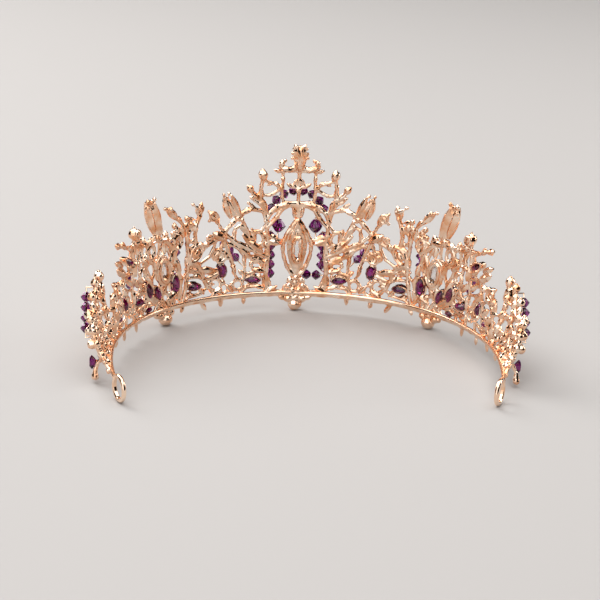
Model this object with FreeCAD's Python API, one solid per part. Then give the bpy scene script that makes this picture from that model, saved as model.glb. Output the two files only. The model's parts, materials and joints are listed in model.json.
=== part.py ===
import FreeCAD, Part
import math
import os

from FreeCAD import Vector

# A bridal tiara of cast, brazed pieces on a sprung wire band, with crystal beads
# threaded on fine wires and set stones. Millimetres. +Z is up as it is worn, the
# front faces -Y, and +X is the wearer's left. Every ornament is laid out by its
# station (distance along the band from the front centre), its height above the
# band wire, and how far outward of the band it lies.

# ---- driving dimensions -------------------------------------------------------
front_bend = 80.0            # plan radius of the band at the front
shoulder_bend = 66.0         # plan radius round the temples
tail_bend = 105.0            # plan radius of the straighter tails
front_turn = math.radians(20)
shoulder_turn = math.radians(66)
band_reach = 132.0           # length of the band from the front centre to one tail
band_height = 7.7            # band wire above the surface the tiara stands on

band_wire = 0.8              # radius of the band wire
rail_wire = 0.8              # radius of the rail cast along the foot of each piece
rail_out = 1.0               # the rail lies this far outward of the band wire
rail_drop = 1.0              # and this far below it
casting_out = 0.9            # middle plane of the castings, outward of the band
twig = 0.72                  # radius of a main branch
sprig = 0.55                 # radius of a fine branch
knot_swell = 1.2             # knots stand this much fuller than the branch
knot_flat = 66               # latitude of the small flats on each knot's front and back

bead_belt = 2.0              # bicone crystal: radius at the belt
bead_half = 1.75             # half its length
bead_nose = 0.75             # radius at its ends
bead_girdle = 0.12           # half the width of the flat round its belt
big_bead_scale = 1.45
bead_sides = 8
bead_pitch = 3.9
thread_wire = 0.25           # radius of the wire the beads turn on
thread_play = 0.1            # running clearance of a bead on its wire
bead_out = 3.7               # beads hang this far outward of the band

loop_radius = 4.3            # centre line of the comb loop at each tail
loop_wire = 0.85
loop_bore = 3.6              # its inner wall, flattened for a ribbon or a hairpin
loop_turn = math.radians(25)  # the loop's plane, turned inward from the front-to-back line

meeting = 0.001              # the two halves of a wire stop this far short of the centre
sleeve_half = 0.01           # and are joined by a sleeve of this half length,
sleeve_swell = 1.01          # this much fuller than the wire
inner_rail = 0.97            # the shoulders' and ends' rails are this much finer, to end inside the next
thread_knot = 1.15           # fullness of the fine wire at a bend
droplet_radius = 2.5         # the round pendant drops that the tiara stands on
collet_wall = 0.7            # wall of the cups that hold the amethysts
crown_ball = 2.1             # radius of the large granule at the top of each end

up = Vector(0, 0, 1)
nodes = {}
bead_axes = {}


# ---- the band's curve ---------------------------------------------------------
def band_station(s):
    """Plan position and heading of the left half of the band at station s."""
    front_length = front_bend * front_turn
    shoulder_length = shoulder_bend * shoulder_turn
    heading = min(s, front_length) / front_bend
    x = front_bend * math.sin(heading)
    y = front_bend * (1 - math.cos(heading))
    for bend, run in ((shoulder_bend, min(s - front_length, shoulder_length)),
                      (tail_bend, s - front_length - shoulder_length)):
        if run > 0:
            after = heading + run / bend
            x += bend * (math.sin(after) - math.sin(heading))
            y += bend * (math.cos(heading) - math.cos(after))
            heading = after
    return x, y, heading


def outward(s):
    """Level direction away from the wearer's head at station s."""
    heading = band_station(abs(s))[2]
    return Vector(math.copysign(1, s) * math.sin(heading), -math.cos(heading), 0)


def along(s):
    """Level direction along the band at station s, towards the wearer's left."""
    heading = band_station(abs(s))[2]
    return Vector(math.cos(heading), math.copysign(1, s) * math.sin(heading), 0)


def place(s, z, out=casting_out):
    """The point at station s, z above the band wire and so far outward of it."""
    x, y, heading = band_station(abs(s))
    foot = Vector(math.copysign(1, s) * x, y, band_height + z)
    return foot + outward(s) * out


# ---- building blocks ----------------------------------------------------------
def ball(centre, radius, poles):
    """A ball with a small flat at each pole."""
    return Part.makeSphere(radius, centre, poles, -knot_flat, knot_flat, 360)


def bar(start, end, start_radius, end_radius=None):
    """A round bar from point to point, tapered where the radii differ."""
    run = end - start
    if end_radius is None or abs(end_radius - start_radius) < 0.01:
        return Part.makeCylinder(start_radius, run.Length, start, run)
    return Part.makeCone(start_radius, end_radius, run.Length, start, run)


class Casting:
    """Bars, knots and ornaments that are cast together as one piece."""

    def __init__(self):
        self.solids = []
        self.knots = {}

    def knot(self, point, radius, face, *neighbours):
        """A ball at a junction. Bars that meet there share the largest one."""
        key = (round(point.x, 1), round(point.y, 1), round(point.z, 1))
        known = self.knots.setdefault(key, {"point": point, "radius": radius, "face": face, "ways": []})
        known["radius"] = max(known["radius"], radius)
        known["ways"] += [neighbour - point for neighbour in neighbours]

    def limb(self, radius, *stations):
        """A branch: bars from station to station with a fuller knot at each."""
        self.shoot(radius, radius, *stations)

    def shoot(self, radius, tip_radius, *stations):
        """A branch that thins towards its tip."""
        points = [place(*station) for station in stations]
        steps = len(points) - 1
        radii = [radius + (tip_radius - radius) * i / steps for i in range(steps + 1)]
        for i in range(steps):
            self.solids.append(bar(points[i], points[i + 1], radii[i], radii[i + 1]))
        for i, point in enumerate(points):
            self.knot(point, radii[i] * knot_swell, outward(stations[i][0]), *points[max(0, i - 1):i],
                      *points[i + 1:i + 2])

    def grain(self, radius, *station):
        """A round granule, bud or lobe."""
        self.knot(place(*station), radius, outward(station[0]))

    def hoop(self, s, z, across, high, tilt=0.0, radius=sprig, sides=8, out=casting_out):
        """A closed ring of cast wire, an oval of the given half sizes."""
        stations = []
        lean = math.radians(tilt)
        for i in range(sides):
            angle = 2 * math.pi * (i + 0.5) / sides
            u = across * math.cos(angle)
            w = high * math.sin(angle)
            stations.append((s + math.copysign(1, s) * (u * math.cos(lean) - w * math.sin(lean)),
                             z + u * math.sin(lean) + w * math.cos(lean), out))
        self.limb(radius, *stations, stations[0])

    def add(self, *solids):
        self.solids += solids

    def shape(self):
        solids = list(self.solids)
        for knot in self.knots.values():
            solids.append(turned_ball(**knot))
        return fused(solids)


def turned_ball(point, radius, face, ways):
    """A ball with small flats that face out and in, and a seam between the bars."""
    side = up.cross(face)
    taken = sorted(math.atan2(way.dot(up), way.dot(side)) for way in ways) or [0.0]
    gaps = [((taken[(i + 1) % len(taken)] - angle) % (2 * math.pi) or 2 * math.pi, angle)
            for i, angle in enumerate(taken)]
    widest, start = max(gaps)
    seam = start + widest / 2
    seam_way = side * math.cos(seam) + up * math.sin(seam)
    knot = Part.makeSphere(radius, Vector(0, 0, 0), up, -knot_flat, knot_flat, 360)
    knot.Placement = FreeCAD.Placement(point, FreeCAD.Rotation(seam_way, face.cross(seam_way), face, "ZXY"))
    return knot


def fused(solids):
    """One solid from several that overlap."""
    return solids[0].multiFuse(solids[1:])


def section_loft(sections):
    """A faceted solid through closed outlines."""
    wires = [Part.makePolygon(section + [section[0]]) for section in sections]
    return Part.makeLoft(wires, True, True)


def leaf(base, tip, width, ridge=1.1, back=0.8, fullest=0.55, blunt=0.3):
    """A keeled leaf from one point to another: broad, ridged front and back."""
    start = place(*base)
    end = place(*tip)
    face = outward((base[0] + tip[0]) / 2)
    across = (end - start).cross(face)
    across.normalize()
    sections = []
    for t in (0.0, fullest / 2, fullest, (1 + fullest) / 2, 1.0):
        if t <= fullest:
            swell = math.sin(math.pi / 2 * t / fullest)
        else:
            swell = math.cos(math.pi / 2 * (t - fullest) / (1 - fullest))
        half = width / 2 * (blunt + (1 - blunt) * swell)
        keel = blunt + (1 - blunt) * swell
        middle = start + (end - start) * t
        sections.append([middle - across * half, middle + face * ridge * keel,
                         middle + across * half, middle - face * back * keel])
    return section_loft(sections)


def outline(centre, axis, face, length, width, pointed, sides=12):
    """Points round a stone: an oval, or a marquise where pointed is 1."""
    across = axis.cross(face)
    points = []
    for i in range(sides):
        angle = 2 * math.pi * i / sides
        squeeze = 1 - 0.28 * pointed * abs(math.cos(angle)) ** 2 * abs(math.sin(angle)) ** 0.5
        points.append(centre + axis * (length / 2 * math.cos(angle))
                      + across * (width / 2 * math.sin(angle) * squeeze))
    return points


def lie(s, tilt):
    """The long axis of a stone or setting, turned from upright towards the tail."""
    lean = math.radians(tilt)
    return up * math.cos(lean) + along(s) * math.copysign(1, s) * math.sin(lean)


def stone(s, z, length, width, tilt=0.0, pointed=1.0, out=2.4, depth=2.4):
    """A faceted stone: table, girdle and a narrow culet."""
    centre = place(s, z, out)
    face = outward(s)
    axis = lie(s, tilt)
    rings = []
    for lift, size in ((-0.55, 0.25), (0.0, 1.0), (0.12, 1.0), (0.45, 0.6)):
        rings.append(outline(centre + face * (depth * lift), axis, face,
                             length * size, width * size, pointed))
    return section_loft(rings)


def collet(s, z, length, width, tilt=0.0, pointed=1.0, wall=collet_wall, back=0.2, front=2.5):
    """The open-backed wall round a stone."""
    face = outward(s)
    axis = lie(s, tilt)
    near = place(s, z, back)
    far = place(s, z, front)
    outer = section_loft([outline(near, axis, face, length + wall, width + wall, pointed),
                          outline(far, axis, face, length + 2 * wall, width + 2 * wall, pointed)])
    near_inner = near - face
    far_inner = far + face
    inner = section_loft([outline(near_inner, axis, face, length - 2 * wall, width - 2 * wall, pointed),
                          outline(far_inner, axis, face, length - wall / 2, width - wall / 2, pointed)])
    return outer.cut(inner)


def rail(start, end, height, out, radius):
    """Round wire that follows the band's arcs between two stations of one side."""
    turn_stations = [front_bend * front_turn, front_bend * front_turn + shoulder_bend * shoulder_turn]
    stops = [start] + [s for s in turn_stations if start < s < end] + [end]
    edges = []
    for first, last in zip(stops, stops[1:]):
        ends = [place(s, height, out) for s in (first, (first + last) / 2, last)]
        edges.append(Part.Arc(*ends).toShape())
    path = Part.Wire(edges)
    ring = Part.Wire([Part.makeCircle(radius, place(start, height, out), along(start))])
    return path.makePipeShell([ring], True, False)


def joined_rail(end, height, out, radius):
    """A rail over both halves of the band, joined by a short sleeve at the centre."""
    half = rail(meeting, end, height, out, radius)
    sleeve = bar(place(-sleeve_half, height, out), place(sleeve_half, height, out), radius * sleeve_swell)
    return fused([half, mirrored(half), sleeve])


def on_side(side, *stations):
    """The same stations on the chosen side of the centre."""
    return [(side * station[0], *station[1:]) for station in stations]


def mirrored(shape):
    """The mirror image on the other side of the centre."""
    return shape.mirror(Vector(0, 0, 0), Vector(1, 0, 0))


def pair(name, shape):
    """One node for the wearer's left and its mirror image for the right."""
    nodes[name + "_left"] = shape
    nodes[name + "_right"] = mirrored(shape)


# ---- beads and their wires ----------------------------------------------------
def bicone(centre, axis, scale=1.0):
    """A faceted bicone crystal, bored through for its wire."""
    axis = Vector(axis)
    axis.normalize()
    side = axis.cross(Vector(0.3, 0.4, 0.87))
    side.normalize()
    other = axis.cross(side)
    rings = []
    for lift, radius in ((-bead_half, bead_nose), (-bead_girdle, bead_belt), (bead_girdle, bead_belt),
                         (bead_half, bead_nose)):
        ring = []
        for i in range(bead_sides):
            angle = 2 * math.pi * i / bead_sides
            spoke = side * math.cos(angle) + other * math.sin(angle)
            ring.append(centre + axis * (lift * scale) + spoke * (radius * scale))
        rings.append(ring)
    body = section_loft(rings)
    reach = bead_half * scale + 1
    hole = Part.makeCylinder(thread_wire + thread_play, 2 * reach, centre - axis * reach, axis)
    return body.cut(hole)


def thread(*points):
    """Fine wire, bent at each point: straight wherever a bead sits."""
    solids = []
    for before, point, after in zip(points, points[1:], points[2:]):
        solids.append(ball(point, thread_wire * thread_knot, (before - point).cross(after - point)))
    for start, end in zip(points, points[1:]):
        solids.append(bar(start, end, thread_wire))
    return fused(solids)


def strand(first, last, count, scale=1.0):
    """Beads evenly spaced on a straight wire between two points, nose to nose."""
    run = last - first
    middle = (first + last) * 0.5
    run.normalize()
    beads = []
    for i in range(count):
        offset = bead_pitch * scale * (i - (count - 1) / 2)
        beads.append(bicone(middle + run * offset, run, scale))
    return beads, middle, run


def add_strand(name, first, last, count, scale=1.0):
    """The beads of one row as a node, with the axis that they turn on."""
    beads, middle, run = strand(first, last, count, scale)
    nodes[name] = Part.makeCompound(beads) if count > 1 else beads[0]
    bead_axes[name] = (middle, run)


# ---- band and comb loops ------------------------------------------------------
nodes["base_band"] = joined_rail(band_reach, 0, 0, band_wire)

tail = place(band_reach, 0, 0)
loop_along = Vector(-math.sin(loop_turn), math.cos(loop_turn), 0)
loop_axis = loop_along.cross(up)
loop_centre = tail + loop_along * (loop_radius * 0.93) - up * (band_height - loop_radius - loop_wire)
comb_loop = Part.makeTorus(loop_radius, loop_wire, loop_centre, loop_axis)
bore_length = 4 * loop_wire
bore_start = loop_centre - loop_axis * (bore_length / 2)
comb_loop = comb_loop.cut(Part.makeCylinder(loop_bore, bore_length, bore_start, loop_axis))
pair("end_loop", comb_loop)

# ---- centre -------------------------------------------------------------------
centre = Casting()
centre.limb(twig, (0, 50.4), (0, 46.6), (0, 42.8), (0, 37.1), (0, 36.2), (0, 30.6))
centre.grain(1.25, 0, 42.8)
centre.grain(0.95, 0, 46.6)
for side in (1, -1):
    centre.limb(twig, *on_side(side, (12.0, -0.9), (11.9, 8), (11.3, 16), (11.7, 24), (12.4, 30), (13.4, 33.6),
                              (14.6, 37.5), (15.1, 41), (14.7, 44.5), (14.1, 48.6)))
    centre.limb(sprig, *on_side(side, (14.4, 46.8), (10.9, 45.7), (8, 44.2), (6.6, 43.4)))
    centre.limb(sprig, *on_side(side, (15.1, 41), (12, 40.5), (9.6, 41.3), (7.8, 42.6), (6.6, 43.4)))
    centre.shoot(twig, 0.5, *on_side(side, (14.9, 39.2), (17, 40.9), (19, 43.2)))
    centre.shoot(sprig, 0.45, *on_side(side, (14.2, 36.2), (17.2, 38.4), (18.6, 39.7)))
    centre.limb(0.85, *on_side(side, (12.4, 30), (10.9, 33.2), (8.4, 35.7), (4.4, 37.2), (0, 37.1)))
    centre.limb(0.8, *on_side(side, (0, 36.2), (3.6, 36.2), (6.4, 34.5), (8.4, 31.4), (11.9, 27.4)))
    centre.limb(sprig, *on_side(side, (6.5, 50.3), (6.2, 46.5), (6.6, 43.4), (6.4, 39.8), (5.6, 36.9)))
    centre.limb(sprig, *on_side(side, (0, 50.4), (4, 50.2), (6.5, 50.3), (8.2, 50.3)))
    centre.limb(sprig, *on_side(side, (0, 42.8), (2.1, 44.2), (1.5, 46), (0, 46.6)))
    centre.limb(sprig, *on_side(side, (5.4, 21.6), (8.2, 22.4), (11.7, 24)))
    centre.limb(sprig, *on_side(side, (5.2, 20.6), (8.3, 20.2), (11.5, 20.4)))
    centre.limb(sprig, *on_side(side, (11.95, 3.6), (9.6, 1.2), (6.4, 0.2), (3.2, 1.4)))
    centre.limb(sprig, *on_side(side, (11.9, 8), (10.4, 4.2), (9.6, 1.2)))
    centre.grain(1.75, side * 14.1, 48.6)
    centre.grain(1.3, side * 19, 43.2)
    centre.grain(0.9, side * 8.2, 50.3)
centre.add(joined_rail(12.6, -rail_drop, rail_out, rail_wire))
nodes["centre_casting"] = centre.shape()

# the finial: a crowned leaf between two scrolls, each scroll a run of (station, height, radius)
scroll = [(0.9, 53.4, 0.6), (1.7, 51.6, 0.9), (3.6, 50.9, 1.05), (5.8, 51.1, 1.05), (7.1, 52.3, 0.95),
          (6.8, 53.8, 0.75), (5.6, 54.5, 0.55)]
finial = Casting()
finial.add(leaf((0, 50.9), (0, 60.6), 5.0, ridge=1.3, back=1.2, fullest=0.6, blunt=0.35))
for side in (1, -1):
    for (s, z, radius), (next_s, next_z, next_radius) in zip(scroll, scroll[1:]):
        finial.shoot(radius, next_radius, (side * s, z), (side * next_s, next_z))
    for s, z in ((2.5, 59.3), (2.9, 57.4), (3.0, 55.5)):
        finial.shoot(0.4, 0.5, (side * 0.5, z - 0.9), (side * s, z))
nodes["centre_finial"] = finial.shape()

# the marquise: a boat-shaped setting, open through its back, with a wire loop round it
marquise_profile = ((8.0, 1.0), (10.5, 1.9), (13.5, 2.9), (16.5, 3.7), (20.0, 4.1), (22.0, 4.2), (24.5, 3.6),
                    (27.5, 2.2), (30.4, 0.7))
marquise_loop = ((0.9, 30.2), (2.6, 27.4), (4.6, 24.0), (5.6, 20.8), (5.4, 16.8), (4.2, 12.8), (2.8, 9.6),
                 (0.9, 7.6))
marquise_middle = 18.6
boat_gunwale = -0.5          # the boat's widest line, slightly inward of the band wire
boat_draught = 1.3           # depth of its keel at the widest section
boat_rim = 2.2               # its front edge


def boat_section(height, half):
    """Six points round the setting at one height."""
    keel = boat_gunwale - 0.1 - boat_draught * half / marquise_profile[5][1]
    section = []
    for share, out in ((-1, boat_gunwale), (-0.35, keel), (0.35, keel), (1, boat_gunwale), (0.85, boat_rim),
                       (-0.85, boat_rim)):
        section.append(place(0, height, out) + Vector(share * half, 0, 0))
    return section


def marquise_outline(out, length, width):
    return outline(place(0, marquise_middle, out), up, outward(0), length, width, 1.0)


boat = section_loft([boat_section(height, half) for height, half in marquise_profile])
window = section_loft([marquise_outline(-4, 9.6, 2.0), marquise_outline(1.0, 11.4, 3.2)])
stone_seat = section_loft([marquise_outline(0.9, 11.6, 3.8), marquise_outline(3.4, 13.8, 5.4)])
setting = Casting()
setting.add(boat.cut(window).cut(stone_seat))
for side in (1, -1):
    setting.limb(sprig, *on_side(side, *marquise_loop))
nodes["centre_marquise_setting"] = setting.shape()
nodes["centre_crystal"] = section_loft([
    marquise_outline(1.2, 8.6, 2.4), marquise_outline(2.7, 12.9, 4.7), marquise_outline(3.0, 12.9, 4.7),
    marquise_outline(4.3, 8.8, 2.8)])

petal_count = 7
petal_ring = 2.6
rosette = Casting()
rosette.grain(1.7, 0, 3.9, 1.2)
for i in range(petal_count):
    angle = 2 * math.pi * (i + 0.25) / petal_count
    rosette.grain(1.25, petal_ring * math.cos(angle), 3.9 + petal_ring * math.sin(angle), 0.9)
rosette.grain(1.1, 0, 7.2, 0.9)
nodes["centre_rosette"] = rosette.shape()

drop = Casting()
drop.grain(droplet_radius, 0, droplet_radius - band_height, 1.2)
drop.grain(1.9, 0, -2.6, 1.2)
for side in (1, -1):
    drop.grain(1.7, side * 2.9, -2.7, 1.2)
    drop.grain(1.25, side * 5.2, -2.2, 1.2)
nodes["centre_drop"] = drop.shape()

# ---- shoulders ----------------------------------------------------------------
shoulder = Casting()
# gallery along the foot: arches and windows between the rail and the branches
shoulder.limb(sprig, (12.6, 1.6), (14.5, 2.9), (20, 2.4), (22, 0.2))
shoulder.hoop(23.4, 4, 2.1, 2.3)
shoulder.hoop(33.2, 5, 2.9, 2.6, 10)
shoulder.limb(sprig, (12.4, 9.8), (15, 9.4), (20.4, 8.2), (21.6, 5.4))
shoulder.limb(sprig, (25.6, 4.6), (27, 2.2), (29.4, 0.6), (31, -0.9))
shoulder.limb(twig, (29.4, 0.6), (32.6, 2), (36.2, 4.4), (38, 8), (39, 11.8), (41, 15), (45.4, 15.4))
shoulder.limb(sprig, (25.2, 9.4), (25.2, 11.6), (26.2, 14.8), (27.4, 18.4), (28.8, 22), (29.2, 25.8))
shoulder.limb(sprig, (20.6, 8.2), (20.6, 12), (20.9, 15.6), (23, 18.8), (26, 20.8), (28.8, 22))
shoulder.limb(sprig, (36.2, 4.4), (39.4, 2.2), (44.8, 1.6), (48, -0.6))
shoulder.limb(sprig, (25.2, 9.4), (23.4, 6.4))
# branches from the centre posts out to the shoulder leaf
shoulder.limb(twig, (11.4, 15), (16, 17.2), (20, 19.6), (24.5, 21.8), (29.2, 25.8))
shoulder.limb(sprig, (11.8, 12.4), (16.6, 13.8), (20.4, 16), (22.6, 19.2), (24.5, 21.8))
shoulder.limb(sprig, (11.8, 18.6), (14.4, 20.4), (17, 19.6))
shoulder.hoop(15.6, 22.8, 2.2, 3.0, -20)
shoulder.limb(sprig, (18, 18.6), (18.8, 23.6), (20.2, 27), (22.6, 28.6), (24.8, 27.6), (25.1, 24), (24.5, 21.8))
shoulder.limb(sprig, (12.4, 28.4), (14.2, 26), (16.6, 25.8))
shoulder.hoop(16, 11.6, 2.4, 1.5, 15)
shoulder.limb(twig, (13.6, 34), (17, 35), (19.8, 35.2), (22.2, 33.6), (23.8, 32), (26, 30.2), (29.2, 26.4),
              (33, 23.6), (37.2, 21.4), (41.4, 23.2), (42.2, 27.4), (41.4, 31.4), (40.2, 34.4))
shoulder.limb(sprig, (20.2, 27), (21.6, 30), (23.8, 32))
shoulder.shoot(sprig, 0.45, (17, 35), (18.4, 36.8), (19.8, 37.6))
shoulder.shoot(sprig, 0.5, (29.6, 26.2), (31.2, 28.8), (32.2, 30.4))
shoulder.limb(sprig, (33, 23.6), (33.6, 20.4), (35.8, 16.8), (39.4, 14.8), (41, 15))
shoulder.hoop(30.6, 16.4, 2.1, 2.2)
shoulder.limb(sprig, (28.6, 15.6), (26.4, 15.4))
shoulder.limb(sprig, (37.2, 21.4), (40, 18.4), (43, 16.4), (45.4, 15.4))
shoulder.hoop(43.6, 27, 1.7, 2.7, 8)
shoulder.limb(twig, (46.2, 30.4), (45.8, 24), (45.2, 19), (45.4, 12), (46.2, 6), (48, -0.6))
shoulder.limb(sprig, (41.4, 23.2), (43.4, 22.2), (45.6, 21.6))
shoulder.limb(sprig, (38, 8), (41, 9.4), (45.6, 9.8))
shoulder.limb(sprig, (41, 12), (43.4, 13.4), (45.4, 12))
shoulder.limb(sprig, (31.6, 9.6), (35, 8.4), (38, 8))
shoulder.limb(sprig, (17.4, 8.8), (17.2, 7.5))
shoulder.limb(sprig, (17.4, 2.8), (17.2, 3.9))
shoulder.limb(sprig, (41.2, 31.8), (43.4, 30.8), (46.2, 30.4))
shoulder.grain(1.15, 44.4, 31.6)
shoulder.grain(0.95, 45.8, 32)
shoulder.grain(1.05, 46.8, 31.2)
shoulder.grain(1.15, 31, 2.6)
shoulder.grain(0.95, 25.4, 12)
shoulder.grain(0.85, 14.4, 6.8)
shoulder.add(leaf((40.3, 34.2), (38.4, 37.8), 1.7, 0.8, 0.6),
             leaf((40.3, 34.2), (41.9, 37.4), 1.6, 0.8, 0.6),
             leaf((31.9, 30.2), (33.4, 35), 2.5, 0.9, 0.7),
             leaf((31.4, 11.2), (38.2, 10.6), 2.4, 0.9, 0.7),
             leaf((17.4, 20), (21.8, 24.8), 2.3, 0.9, 0.7), leaf((37.4, 21.8), (42.4, 18), 2.9, 1.0, 0.8),
             leaf((20.4, -1.4), (20.7, -4.4), 1.9, 0.8, 0.7),
             leaf((30.4, -1.4), (30.2, -4.6), 2.2, 0.8, 0.7),
             leaf((39.2, -1.2), (36.4, -5.2), 2.0, 0.8, 0.7),
             leaf((47, -1.4), (48.2, -3.9), 2.2, 0.8, 0.7), collet(17.2, 5.7, 5.2, 3.1, 82),
             collet(30, 10.6, 5.4, 2.8, 10), collet(42.3, 5.6, 5.6, 2.5, 84),
             rail(12.3, 47.6, -rail_drop, rail_out, rail_wire * inner_rail))
pair("shoulder_casting", shoulder.shape())
shoulder_leaf = Casting()
shoulder_leaf.add(leaf((23.7, 31.6), (28.9, 40.2), 4.2, 1.5, 1.2, 0.5, 0.3))
shoulder_leaf.limb(0.8, (23.2, 31.2), (24.6, 33.2))
shoulder_leaf.grain(0.7, 29.3, 40.4)
shoulder_leaf.grain(0.6, 28.4, 40.3)
pair("shoulder_leaf", shoulder_leaf.shape())

# ---- sides --------------------------------------------------------------------
flank = Casting()
flank.limb(twig, (48, -0.7), (49.2, 1.8), (49.2, 5.6), (48.3, 10), (50, 13.6), (51, 18), (52.2, 22.6),
           (55, 26.6), (58, 28.2), (62, 28.5), (68, 28.3), (72.4, 29.2), (75.8, 30.8))
flank.limb(sprig, (46.2, 27.2), (46.2, 29.6), (47.6, 31.8), (50.6, 34.8))
flank.limb(sprig, (46.2, 27.2), (49.4, 28.6), (52.4, 28.2), (55, 26.6))
flank.limb(sprig, (58, 28.2), (55.6, 24), (53.8, 20), (53.4, 15.4), (54.8, 10.4), (57.4, 7))
flank.limb(sprig, (52.4, 28.2), (50.6, 25.4), (50.8, 21.8), (51.6, 19.8))
flank.limb(sprig, (60.2, 28.4), (60, 24.6), (60.6, 21.6), (65.6, 21.8), (66, 26.4), (65.6, 28.4))
flank.limb(sprig, (65.8, 24), (68.2, 21.6), (66.6, 17), (64, 13.2))
flank.limb(sprig, (70.4, 28.6), (70.6, 24), (68.8, 20), (68.4, 15.8), (66.6, 14))
flank.limb(sprig, (72.4, 29.2), (73.6, 24.4), (71.8, 20), (71.2, 15), (71, 10.6))
flank.limb(sprig, (75.8, 30.8), (76.4, 25), (76.8, 19.4), (77.2, 13), (76, 7.4), (75.6, 2), (76, -0.8))
flank.limb(sprig, (71, 10.6), (74.4, 10), (76.6, 10.4))
flank.limb(sprig, (76.6, 22), (73.6, 22.6), (70.6, 22.8))
flank.limb(sprig, (57.4, 7), (54.4, 4.8), (51.2, 3.4), (49.2, 1.8))
flank.limb(twig, (62.2, -0.8), (60.6, 2), (58.2, 3.6), (56.6, 1.2), (56, -0.8))
flank.limb(sprig, (60.6, 2), (62.8, 4.4), (63.4, 9), (64, 13.2))
flank.limb(sprig, (62.8, 4.4), (66, 5.2), (69, 4.4), (75.6, 3.4))
flank.limb(sprig, (66, 5.2), (68.6, 9.4), (71, 10.6))
flank.limb(sprig, (64, 13.2), (62.6, 16), (63.2, 19.4), (62.8, 21.7))
flank.hoop(53.2, 1.9, 1.6, 1.4)
flank.hoop(71.8, 1.2, 2.2, 1.5)
flank.limb(sprig, (66.4, 3.0), (66, 5.2))
flank.limb(sprig, (68.6, 23.8), (70.6, 24))
flank.limb(sprig, (48.3, 10), (46.4, 11.2), (45.5, 12.4))
flank.grain(1.2, 51, 28.4)
flank.grain(1.0, 52.8, 29.4)
flank.grain(1.15, 56.2, 28.6)
flank.grain(0.85, 57.4, 29.8)
flank.grain(1.1, 68.4, 28.9)
flank.grain(0.9, 72, 30.6)
flank.grain(1.1, 68.6, 23.8)
flank.grain(1.15, 54.6, 5.2)
flank.grain(1.0, 73.9, 22.6)
flank.add(collet(51.4, 8.6, 7.6, 3.3, 4), collet(61, 7.2, 6.6, 2.6, 24), collet(66, 9.6, 7.0, 3.0, 16),
          collet(72.6, 6.8, 6.2, 2.4, 78), collet(66.4, 2.0, 3.6, 1.6, 80),
          leaf((50.4, 34.5), (54.2, 38.8), 3.0, 1.1, 0.9), leaf((53.4, 12), (52.6, 18.8), 2.0, 0.9, 0.7),
          leaf((56.8, 22.2), (57.8, 27.4), 2.2, 0.9, 0.7), leaf((74.2, -1.2), (73.6, -5.2), 1.9, 0.8, 0.7),
          rail(47.3, 76.4, -rail_drop, rail_out, rail_wire))
pair("side_casting", flank.shape())
side_leaf = Casting()
side_leaf.add(leaf((60.3, 30.2), (65.2, 44.6), 7.2, 1.9, 1.6, 0.62, 0.2))
side_leaf.limb(0.8, (59.6, 27.8), (61.6, 33.4))
side_leaf.limb(sprig, (59.9, 29.4), (62, 29.9))
side_leaf.grain(0.9, 63.9, 44.6)
side_leaf.grain(0.9, 65.4, 44.5)
side_leaf.grain(0.7, 66.7, 42.6)
side_leaf.grain(1.15, 62.9, 29.9)
pair("side_leaf", side_leaf.shape())
# the oval setting of each side and its clear stone
oval_s = 58.0
oval_z = 15.6
oval_long = 9.6
oval_wide = 4.9
oval_tilt = 12
oval_out = 2.2
oval_play = 0.1
oval_setting = Casting()
oval_setting.add(collet(oval_s, oval_z, oval_long, oval_wide, oval_tilt, 0.0, 0.8, -0.9, oval_out + 0.6))
oval_setting.hoop(oval_s, oval_z, 3.7, 6.2, -oval_tilt, 0.6, 10, 0.6)
pair("side_oval_setting", oval_setting.shape())
pair("side_crystal", stone(oval_s, oval_z, oval_long - oval_play, oval_wide - oval_play, oval_tilt, 0.0,
                           oval_out + 0.7, 3.2))
side_drop = Casting()
side_drop.grain(droplet_radius, 55.6, droplet_radius - band_height, 1.4)
for s, z, radius in ((52.9, -2.8, 1.5), (58.7, -2.9, 1.6), (55.6, -2.2, 1.5), (60.4, -2.6, 1.2)):
    side_drop.grain(radius, s, z, 1.4)
pair("side_drop", side_drop.shape())

# ---- ends ---------------------------------------------------------------------
end = Casting()
end.limb(sprig, (76.6, 30.8), (80, 30.2), (83, 31.6))
end.limb(sprig, (76.8, 19.4), (80.6, 20.2), (84, 21.4))
end.limb(sprig, (77.2, 13), (81, 14), (84.6, 16.2), (84, 21.4))
end.limb(sprig, (76.6, 25), (79.6, 22.6), (80.6, 20.2))
end.limb(sprig, (76, 7.4), (80, 8.4), (81.6, 12), (81, 14))
end.limb(sprig, (80, 8.4), (82, 4), (82, -0.8))
end.limb(sprig, (82, 4), (86, 2), (90, -0.4))
end.limb(sprig, (86, 2), (86.6, 7), (86, 12.2), (84.6, 16.2))
end.limb(sprig, (86, 12.2), (89, 14.6), (92, 14.4), (95, 11.6), (96, 6), (94.4, 1), (94, -0.8))
end.hoop(91.4, 17.8, 2.4, 2.5, 0, sprig)
end.limb(sprig, (88, 8.6), (91.6, 8), (95.6, 8.2, 1.4))
end.limb(sprig, (86.6, 7), (90, 4.6), (94.4, 1))
end.hoop(78.6, 4.6, 1.6, 1.8)
end.limb(sprig, (78.6, 30.5), (78.4, 27.4), (77.6, 24.2), (79.6, 22.6))
end.limb(sprig, (78.2, 8.0), (78.6, 6.4))
end.limb(sprig, (81.2, 11), (83.2, 9.9))
end.limb(sprig, (84.9, 8.9), (86.6, 7.6))
end.limb(sprig, (88.6, 8.4), (89.4, 6.4))
end.limb(twig, (96, -0.8), (97.6, 6, 2), (98.4, 12, 3.4), (98.6, 18, 4.6), (97, 23, 5.8))
end.limb(twig, (102, -0.8), (103.4, 5, 3), (104.4, 12, 4.8), (104, 18, 5.8), (102.4, 22.6, 6.4))
end.limb(twig, (110, -0.8), (110.6, 3.6, 3.4), (111, 9, 5.0), (109.8, 14.6, 6.2), (107.6, 19.6, 6.8))
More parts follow.
